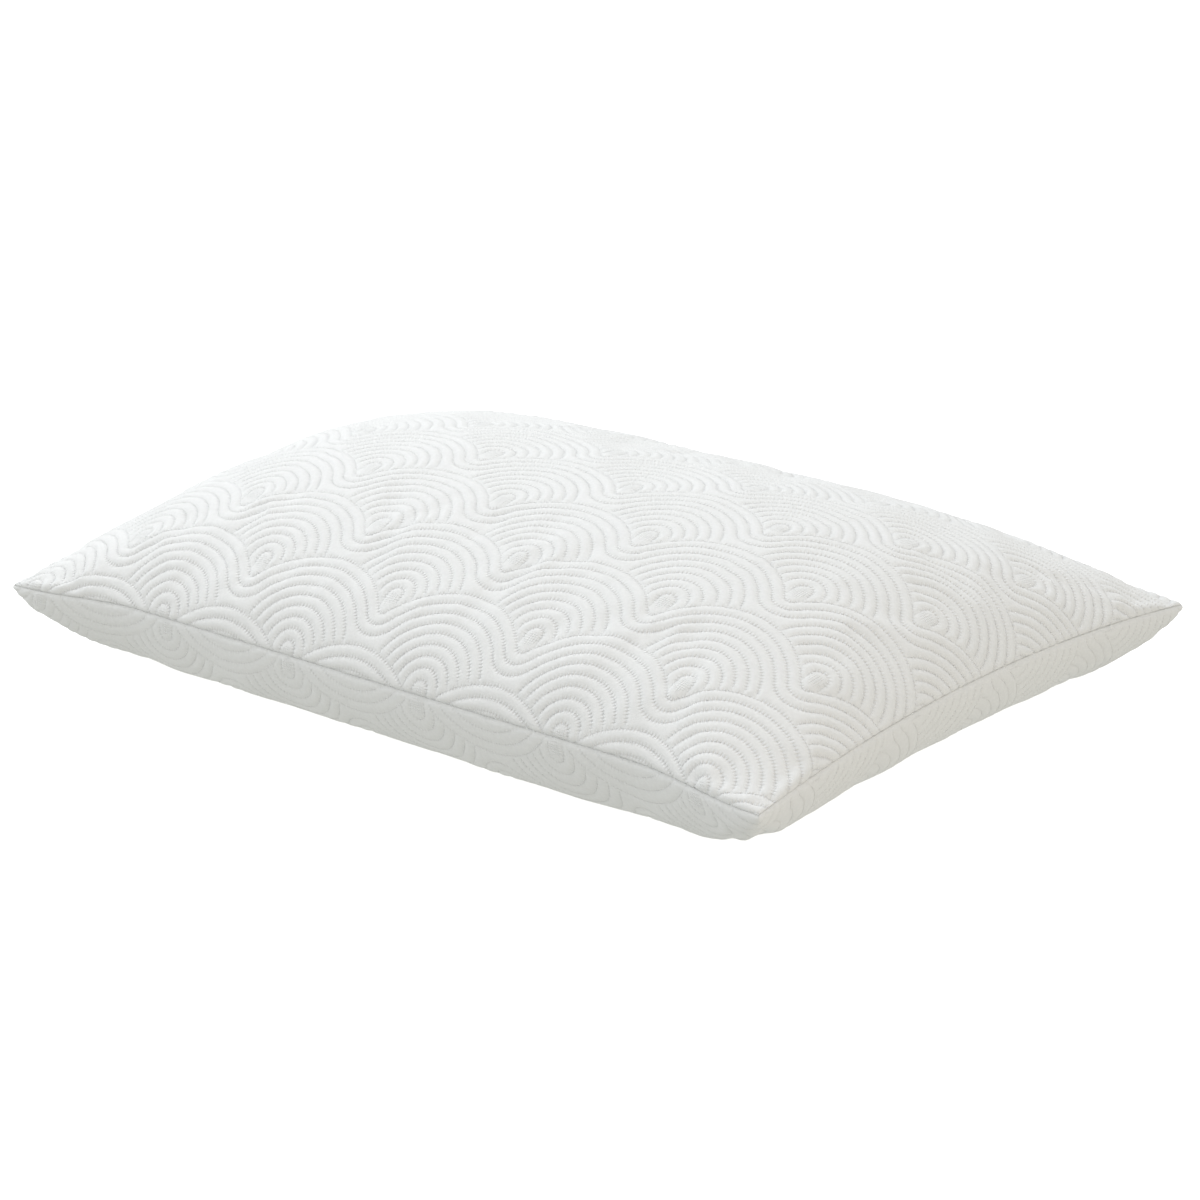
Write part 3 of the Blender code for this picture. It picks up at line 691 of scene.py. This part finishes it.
thread_finish = twisted_thread("quilting_thread")
for half in PANEL_SIDES:
    half_width, half_height = panels[half][4:]
    eyes = eyes_over(half_width, half_height)
    stitches = (eyes[:, None, :2] + fan_stitches[0]).reshape(-1, 4, 2)
    room = (half_width - THREAD_SEAM_GAP, half_height - THREAD_SEAM_GAP)
    stitches = stitches[(np.abs(stitches) < room).all(axis=(1, 2))]
    beside_zip = np.arange(-SLOT_HALF, SLOT_HALF, STITCH)[:, None] + STITCH_QUARTERS * STITCH
    zip_row = np.stack([beside_zip, np.full(beside_zip.shape, half_height - ZIP_ROW_IN)], axis=-1)
    sew(f"quilting_thread_{half}", half, np.concatenate([stitches, zip_row]), thread_finish)

# ---- The zip ---------------------------------------------------------------------------------------------
# A nylon coil zip in the back seam lets the cover come off. Each coil is one filament wound in a spiral and
# sewn to a woven tape; metal stops close its ends, and a die-cast slider with a stamped puller runs on it.

COIL_PITCH = 0.0015
FILAMENT_HALF = 0.00032
TURN_POINTS = 14
FILAMENT_SIDES = 6
HEAD_REACH = 0.00013  # how far the turns' heads reach past the half's own width, to its partner
TAIL_REACH = 0.00024  # and how far their tails do, to the tape
TAPE_EDGE_CLEAR = 0.00042  # of the tapes' edges behind the coils, from the zip's middle line
TAPE_EDGE_REACH = 0.00312
TAPE_EDGE_BACK = 0.00017
TAPE_EDGE_LINES = 5  # of the mesh across a tape's edge
TAPE_EDGE_DIP = 0.3  # the share of the edge's thickness that its middle is drawn in
HERRINGBONE = 0.0009  # from one turn of the tape's ribs to the next
TAPE_RIB, TAPE_PICK = 0.00075, 0.00045  # the pitch of the ribs, and of the threads across them
TAPE_LIGHT, TAPE_DARK = (0.83, 0.83, 0.815), (0.77, 0.77, 0.755)
NYLON_LIGHT, NYLON_DARK = (0.88, 0.88, 0.865), (0.82, 0.82, 0.80)
NYLON_DEPTH = 0.0006  # how far light gets into it
STAMPED_SHADE, CAST_SHADE = 0.50, 0.44
METAL_DARK = 0.86  # the share of the shade that is left in its darker patches
METAL_ROUGHNESS = (0.26, 0.46)  # where it is rubbed bright, and where it isn't


def herringbone(name):
    """Close polyester tape whose ribs turn back on themselves."""
    finish, tree, shader = new_finish(name, 0.72, specular=0.3, sheen=0.15)
    mottled(tree, shader, TAPE_LIGHT, TAPE_DARK, 0.006)
    x, y, z = place_parts(tree)
    turned = calc(tree, "PINGPONG", z, HERRINGBONE)
    ribs = ripple(tree, calc(tree, "ADD", x, turned), TAPE_RIB)
    picks = ripple(tree, z, TAPE_PICK)
    raised(tree, shader, (ribs, 0.07), (picks, 0.025))
    return finish


def nylon(name):
    """Half-clear white monofilament, a little glossy."""
    finish, tree, shader = new_finish(name, 0.36, specular=0.45)
    shader.inputs["Subsurface Weight"].default_value = 0.12
    shader.inputs["Subsurface Radius"].default_value = (NYLON_DEPTH, NYLON_DEPTH, NYLON_DEPTH)
    mottled(tree, shader, NYLON_LIGHT, NYLON_DARK, 0.003)
    scuffs = node(tree, "TexNoise", {"Scale": 1800.0, "Detail": 3.0}).outputs["Fac"]
    raised(tree, shader, (scuffs, 0.02))
    return finish


def plated_metal(name, shade, grain):
    """Tumbled, plated zinc or aluminium: satin, with soft hollows and fine scratches along its grain."""
    finish, tree, shader = new_finish(name, 0.34, metallic=1.0)
    light = (shade, shade, 1.01 * shade)
    mottled(tree, shader, light, tuple(METAL_DARK * k for k in light), 0.002)
    place = node(tree, "TexCoord").outputs["Object"]
    rubbed = node(tree, "TexNoise", {"Vector": place, "Scale": 900.0, "Detail": 4.0}).outputs["Fac"]
    smoothest, roughest = METAL_ROUGHNESS
    rough = node(tree, "MapRange", {"Value": rubbed, "To Min": smoothest, "To Max": roughest})
    tree.links.new(rough.outputs["Result"], shader.inputs["Roughness"])
    stretched = node(tree, "Mapping", {"Vector": place, "Scale": grain}).outputs["Vector"]
    scratches = node(tree, "TexNoise", {"Vector": stretched, "Scale": 700.0, "Detail": 3.0}).outputs["Fac"]
    raised(tree, shader, (scratches, 0.035))
    return finish


def closed_sheet(name, front, back, finish, flip=False):
    """A thin piece: its two faces, each a grid of points, and the band round their edge."""
    front_index = np.arange(front[..., 0].size).reshape(front.shape[:2])
    back_index = front_index + front_index.size
    faces = quads(front_index, flip=flip) + quads(back_index, flip=not flip)
    smooth_faces = len(faces)
    front_rim, back_rim = rim_walk(front_index), rim_walk(back_index)
    for k in range(len(front_rim)):
        n = (k + 1) % len(front_rim)
        band = (front_rim[k], front_rim[n], back_rim[n], back_rim[k])
        faces.append(band if flip else (band[1], band[0], band[3], band[2]))
    vertices = np.concatenate([front.reshape(-1, 3), back.reshape(-1, 3)])
    return mesh_piece(name, vertices, faces, finish, smooth_faces)


def tape_edge(name, low, high, finish):
    """A thin woven strip whose face is drawn in along its middle."""
    x = np.linspace(low[0], high[0], round((high[0] - low[0]) / COIL_PITCH) + 1)
    z = np.linspace(low[2], high[2], TAPE_EDGE_LINES)
    X, Z = np.meshgrid(x, z)
    turn = 2 * math.pi * np.arange(TAPE_EDGE_LINES) / (TAPE_EDGE_LINES - 1)
    dip = TAPE_EDGE_DIP * (high[1] - low[1]) * (0.5 - 0.5 * np.cos(turn))
    front = np.stack([X, high[1] - dip[:, None] + 0 * X, Z], axis=-1)
    back = np.stack([X, low[1] + 0 * X, Z], axis=-1)
    return closed_sheet(name, front, back, finish, flip=True)


def dress(finish, *names):
    """Gives pieces that are already in the frame their finish."""
    for name in names:
        nodes[name].material_slots[0].material = finish


tape_finish = herringbone("zip_tape")
dress(tape_finish, "zip_tape_upper", "zip_tape_lower")
stop_finish = plated_metal("stamped_stop", STAMPED_SHADE, (1, 1, 6))
dress(stop_finish, "zip_top_stop_upper", "zip_top_stop_lower", "zip_bottom_stop")
dress(plated_metal("die_cast_slider", CAST_SHADE, (0.3, 1, 1)), "zip_slider")
dress(plated_metal("stamped_puller", STAMPED_SHADE, (0.2, 1, 1)), "zip_puller")

coil_finish = nylon("nylon_coil")
ZIP_MIDDLE = (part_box("zip_coil_upper")[0].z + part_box("zip_coil_lower")[1].z) / 2
for number, half in enumerate(("upper", "lower")):
    low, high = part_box(f"zip_coil_{half}")
    to_partner = -1 if low.z > ZIP_MIDDLE else 1
    turns = math.floor((high.x - low.x - 2 * FILAMENT_HALF) / COIL_PITCH) - 1
    angle = np.linspace(0, 2 * math.pi * turns, TURN_POINTS * turns + 1)
    reach_y = (high.y - low.y) / 2 - FILAMENT_HALF
    reach_z = (high.z - low.z + HEAD_REACH + TAIL_REACH) / 2 - FILAMENT_HALF
    start = low.x + FILAMENT_HALF + number * COIL_PITCH / 2
    middle_z = (low.z + high.z + to_partner * (HEAD_REACH - TAIL_REACH)) / 2
    path = np.stack(
        [
            start + angle / (2 * math.pi) * COIL_PITCH,
            (low.y + high.y) / 2 + reach_y * np.sin(angle),
            middle_z + reach_z * np.cos(angle),
        ],
        axis=1,
    )
    ahead = np.gradient(path, axis=0)
    ahead /= np.linalg.norm(ahead, axis=1, keepdims=True)
    out = np.cross(ahead, (1.0, 0.0, 0.0))
    out /= np.linalg.norm(out, axis=1, keepdims=True)
    aside = np.cross(ahead, out)
    round_angle = np.arange(FILAMENT_SIDES) * 2 * math.pi / FILAMENT_SIDES
    ring = np.cos(round_angle)[:, None] * out[:, None] + np.sin(round_angle)[:, None] * aside[:, None]
    tube = path[:, None] + FILAMENT_HALF * ring
    index = np.arange(tube[..., 0].size).reshape(tube.shape[:2])
    faces = quads(np.concatenate([index, index[:, :1]], axis=1))
    faces += [index[0].tolist(), index[-1, ::-1].tolist()]
    coil = mesh_piece(f"zip_coil_turns_{half}", tube.reshape(-1, 3), faces, coil_finish)
    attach(coil, "pillow")
    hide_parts(f"zip_coil_{half}")

    # The tape's own edge runs on behind the coil, which is sewn to it.
    edge_z = sorted((ZIP_MIDDLE - to_partner * TAPE_EDGE_CLEAR, ZIP_MIDDLE - to_partner * TAPE_EDGE_REACH))
    edge_low = (low.x, low.y - TAPE_EDGE_BACK, edge_z[0])
    edge = tape_edge(f"zip_tape_edge_{half}", edge_low, (high.x, low.y, edge_z[1]), tape_finish)
    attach(edge, "pillow")

# ---- The care label --------------------------------------------------------------------------------------
# A blank piece of satin ribbon, caught by its top edge in the back seam beside the zip, that hangs free. It
# comes out of the seam level and bends down over its first few millimetres.

LABEL_WIDTH = 0.030
LABEL_LENGTH = 0.036
LABEL_HALF_THICKNESS = 0.00016
LABEL_BEND = 0.0035  # radius, where it turns down
LABEL_CELL = 0.0010
LABEL_CURL = 0.0016  # about how far its free end stands out at its corners
LABEL_CUP = 3.2  # how that goes up with the square of the share across
LABEL_SWAY = (0.35, 5.2, 0.8)  # and a wave across it: its share, its angle over the width and its start
LABEL_EDGE = (0.0012, 0.0005)  # how far in its firm woven edge lies, and half that edge's width
LABEL_LIGHT, LABEL_DARK = (0.90, 0.90, 0.885), (0.85, 0.85, 0.83)
FLOAT_PITCH, FLOAT_SLANT, WARP_PITCH = 0.0005, 0.35, 0.00028  # of the satin's floats and its long threads
LABEL_SEAM_IN = 0.0012  # how far inside the seam's line it starts


def satin(name):
    """Satin ribbon: long floats along its length, and a firmer woven edge at either side."""
    finish, tree, shader = new_finish(name, 0.42, specular=0.45, sheen=0.3)
    shader.inputs["Anisotropic"].default_value = 0.5
    mottled(tree, shader, LABEL_LIGHT, LABEL_DARK, 0.008)
    x, y, z = place_parts(tree)
    floats = ripple(tree, calc(tree, "MULTIPLY_ADD", x, FLOAT_SLANT, z), FLOAT_PITCH)
    warp = ripple(tree, x, WARP_PITCH)
    from_middle = calc(tree, "ABSOLUTE", calc(tree, "SUBTRACT", x, label_middle))
    edge_in, edge_half = LABEL_EDGE
    edge = bell(tree, calc(tree, "SUBTRACT", from_middle, LABEL_WIDTH / 2 - edge_in), edge_half)
    raised(tree, shader, (floats, 0.012), (warp, 0.02), (edge, 0.06))
    return finish


label_low, label_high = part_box("care_label")
label_middle = (label_low.x + label_high.x) / 2
seam_place = form(np.array(label_middle / HALF_LENGTH), np.array(1.0), -1)
across = np.linspace(-0.5, 0.5, round(LABEL_WIDTH / LABEL_CELL) + 1)
down = np.linspace(0, LABEL_LENGTH, round(LABEL_LENGTH / LABEL_CELL) + 1)
bend_length = LABEL_BEND * math.pi / 2
bend_angle = np.clip(down / bend_length, 0, 1) * math.pi / 2
past_bend = np.clip(down - bend_length, 0, None)
path_y = seam_place[1] - LABEL_SEAM_IN + LABEL_BEND * np.sin(bend_angle)
path_z = label_high.z - LABEL_BEND * (1 - np.cos(bend_angle)) - past_bend
A, D = np.meshgrid(across, down)
lower = np.clip(D / LABEL_LENGTH, 0, 1) ** 2
sway, sway_angle, sway_start = LABEL_SWAY
curl = LABEL_CURL * lower * (LABEL_CUP * A**2 + sway * np.sin(sway_angle * A + sway_start))
label_x = label_middle + A * LABEL_WIDTH
middle = np.stack([label_x, path_y[:, None] + curl, path_z[:, None] + 0 * A], axis=-1)
ribbon_way = outward(middle)
front, back = middle - LABEL_HALF_THICKNESS * ribbon_way, middle + LABEL_HALF_THICKNESS * ribbon_way
label = closed_sheet("satin_label", front, back, satin("label_satin"))
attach(label, "pillow")
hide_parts("care_label")

# ---- The inside of the cover, the liner and the filling --------------------------------------------------
# Under the wadding lies a thin woven backing cloth, overlocked along the seam. The liner is a plain cotton
# bag that holds the filling, a block of soft open-cell foam.

BACKING_LIGHT, BACKING_DARK = (0.87, 0.87, 0.85), (0.81, 0.81, 0.79)
BACKING_THREAD, BACKING_THREAD_MM = 0.0006, 0.04  # from one thread to the next, and the weave's height
LINER_LIGHT, LINER_DARK = (0.87, 0.87, 0.855), (0.82, 0.815, 0.80)
LINER_THREAD, LINER_THREAD_MM = 0.0004, 0.03
EDGE_LIGHT, EDGE_DARK = (0.86, 0.86, 0.845), (0.79, 0.79, 0.775)
LOOP_PITCH, STRAND_PITCH = 0.0022, 0.0009  # of the overlock's loops, and of the strands in them
FOAM_LIGHT, FOAM_DARK = (0.88, 0.845, 0.74), (0.82, 0.78, 0.66)
FOAM_CELL, FOAM_LARGE_CELL = 1 / 1100, 1 / 320


def plain_weave(name, light, dark, thread, height_mm):
    """Cloth woven one over, one under, with threads this far apart."""
    finish, tree, shader = new_finish(name, 0.9, specular=0.2, sheen=0.1)
    mottled(tree, shader, light, dark, 0.02)
    x, y, z = place_parts(tree)
    weft = ripple(tree, calc(tree, "ADD", y, z), 2 * thread)
    over = product(tree, ripple(tree, x, 2 * thread), weft)
    slubs = node(tree, "TexNoise", {"Scale": 0.3 / thread, "Detail": 3.0}).outputs["Fac"]
    raised(tree, shader, (over, height_mm), (slubs, height_mm))
    return finish


def overlocked(name):
    """Cut edges bound with looped thread, in close ridges along the seam."""
    finish, tree, shader = new_finish(name, 0.85, specular=0.2)
    mottled(tree, shader, EDGE_LIGHT, EDGE_DARK, 0.01)
    x, y, z = place_parts(tree)
    loops = ripple(tree, calc(tree, "ADD", x, y), LOOP_PITCH)
    strands = ripple(tree, calc(tree, "ADD", calc(tree, "SUBTRACT", x, y), z), STRAND_PITCH)
    raised(tree, shader, (loops, 0.12), (strands, 0.05))
    return finish


def open_cell_foam(name):
    """Soft foam: an even net of tiny open cells, with a few larger ones."""
    finish, tree, shader = new_finish(name, 0.95, specular=0.15)
    mottled(tree, shader, FOAM_LIGHT, FOAM_DARK, 0.03)
    place = node(tree, "TexCoord").outputs["Object"]
    fine = node(tree, "TexVoronoi", {"Vector": place, "Scale": 1 / FOAM_CELL}).outputs["Distance"]
    large = node(tree, "TexVoronoi", {"Vector": place, "Scale": 1 / FOAM_LARGE_CELL}).outputs["Distance"]
    raised(tree, shader, (fine, 0.35), (large, 0.25))
    return finish


backing = plain_weave("backing_cloth", BACKING_LIGHT, BACKING_DARK, BACKING_THREAD, BACKING_THREAD_MM)
dress(backing, "cover_top_backing", "cover_bottom_backing")
dress(overlocked("overlocked_edge"), "cover_seam_edge", "liner_seam_edge")
liner = plain_weave("liner_cotton", LINER_LIGHT, LINER_DARK, LINER_THREAD, LINER_THREAD_MM)
dress(liner, "liner_top_panel", "liner_bottom_panel")
dress(open_cell_foam("soft_foam"), "foam_filling")

# ---- The floor, the light and the camera -----------------------------------------------------------------
# A pale floor in a plain soft studio: a broad light overhead, a weaker one at the front and a small warm one
# at the right. The air gives soft light from all round, and looks white itself, so that no horizon shows.

FLOOR_SIZE = 60.0
FLOOR_DROP = 0.0003  # under the pillow's resting face
FLOOR_LIGHT, FLOOR_DARK = (0.94, 0.94, 0.94), (0.93, 0.93, 0.93)
FLOOR_GLOW = 0.60
AIR_LOW, AIR_HIGH = (0.585, 0.59, 0.545, 1), (0.63, 0.645, 0.655, 1)
AIR_RISE = (-0.6, 0.9)  # the heights of the view, from -1 to 1, between which the one turns into the other
VIEW_AZIMUTH, VIEW_ELEVATION = math.radians(39.66), math.radians(18.99)
VIEW_DISTANCE = 2.441
VIEW_MIDDLE = Vector((0.0, 0.0, 0.060))
AIM_RIGHT, AIM_DOWN = 0.0050, 0.0092  # of that point
LENS, SENSOR = 101.8, 36.0

bpy.ops.mesh.primitive_plane_add(size=FLOOR_SIZE, location=(0.0, 0.0, -FLOOR_DROP))
floor = bpy.context.object
floor.name = "floor"
floor_finish, floor_tree, floor_shader = new_finish("pale_floor", 0.9, specular=0.0)
mottled(floor_tree, floor_shader, FLOOR_LIGHT, FLOOR_DARK, 0.5)
floor_shader.inputs["Emission Color"].default_value = (1, 1, 1, 1)
floor_shader.inputs["Emission Strength"].default_value = FLOOR_GLOW
floor.data.materials.append(floor_finish)
floor.visible_diffuse = False  # so that the underside stays in soft shade

world = bpy.data.worlds.new("studio")
world.use_nodes = True
scene.world = world
sky = world.node_tree
way_up = node(sky, "SeparateXYZ", {"Vector": node(sky, "TexCoord").outputs["Generated"]}).outputs["Z"]
lowest, highest = AIR_RISE
level = node(sky, "MapRange", {"Value": way_up, "From Min": lowest, "From Max": highest}).outputs["Result"]
air = node(sky, "ValToRGB", {"Fac": level})
air.color_ramp.elements[0].color, air.color_ramp.elements[1].color = AIR_LOW, AIR_HIGH
sky.links.new(air.outputs["Color"], sky.nodes["Background"].inputs["Color"])
paper = node(sky, "Background", {"Color": (1, 1, 1, 1), "Strength": 1.0}).outputs[0]
seen = node(sky, "LightPath").outputs["Is Camera Ray"]
both = node(sky, "MixShader", {0: seen, 1: sky.nodes["Background"].outputs[0], 2: paper}).outputs[0]
sky.links.new(both, sky.nodes["World Output"].inputs["Surface"])
scene.view_settings.view_transform = "Standard"


def soft_light(name, place, aim, size, power, colour=(1, 1, 1)):
    """A square of diffused light, as a softbox gives."""
    data = bpy.data.lights.new(name, "AREA")
    data.shape, data.size = "SQUARE", size
    data.energy, data.color = power, colour
    lamp = bpy.data.objects.new(name, data)
    scene.collection.objects.link(lamp)
    lamp.location = place
    lamp.rotation_euler = (Vector(aim) - Vector(place)).to_track_quat("-Z", "Y").to_euler()


soft_light("overhead", (-1.3, 0.7, 2.3), (0, 0, 0.1), 2.2, 35, (0.98, 0.99, 1.0))
soft_light("front_fill", (-2.2, -1.2, 0.8), (0, 0, 0.05), 1.6, 13)
soft_light("warm_side", (2.2, -0.5, 0.7), (0, 0, 0.08), 1.2, 7, (1.0, 0.80, 0.56))

level_reach = math.cos(VIEW_ELEVATION)
lens_x, lens_y = level_reach * math.sin(VIEW_AZIMUTH), -level_reach * math.cos(VIEW_AZIMUTH)
lens_way = Vector((lens_x, lens_y, math.sin(VIEW_ELEVATION)))
right_way = Vector((math.cos(VIEW_AZIMUTH), math.sin(VIEW_AZIMUTH), 0.0))
up_way = lens_way.cross(right_way)
camera_data = bpy.data.cameras.new("view")
camera_data.lens, camera_data.sensor_width = LENS, SENSOR
camera = bpy.data.objects.new("view", camera_data)
scene.collection.objects.link(camera)
camera.location = VIEW_MIDDLE + VIEW_DISTANCE * lens_way
aim = VIEW_MIDDLE + AIM_RIGHT * right_way - AIM_DOWN * up_way
camera.rotation_euler = (aim - camera.location).to_track_quat("-Z", "Y").to_euler()
scene.camera = camera
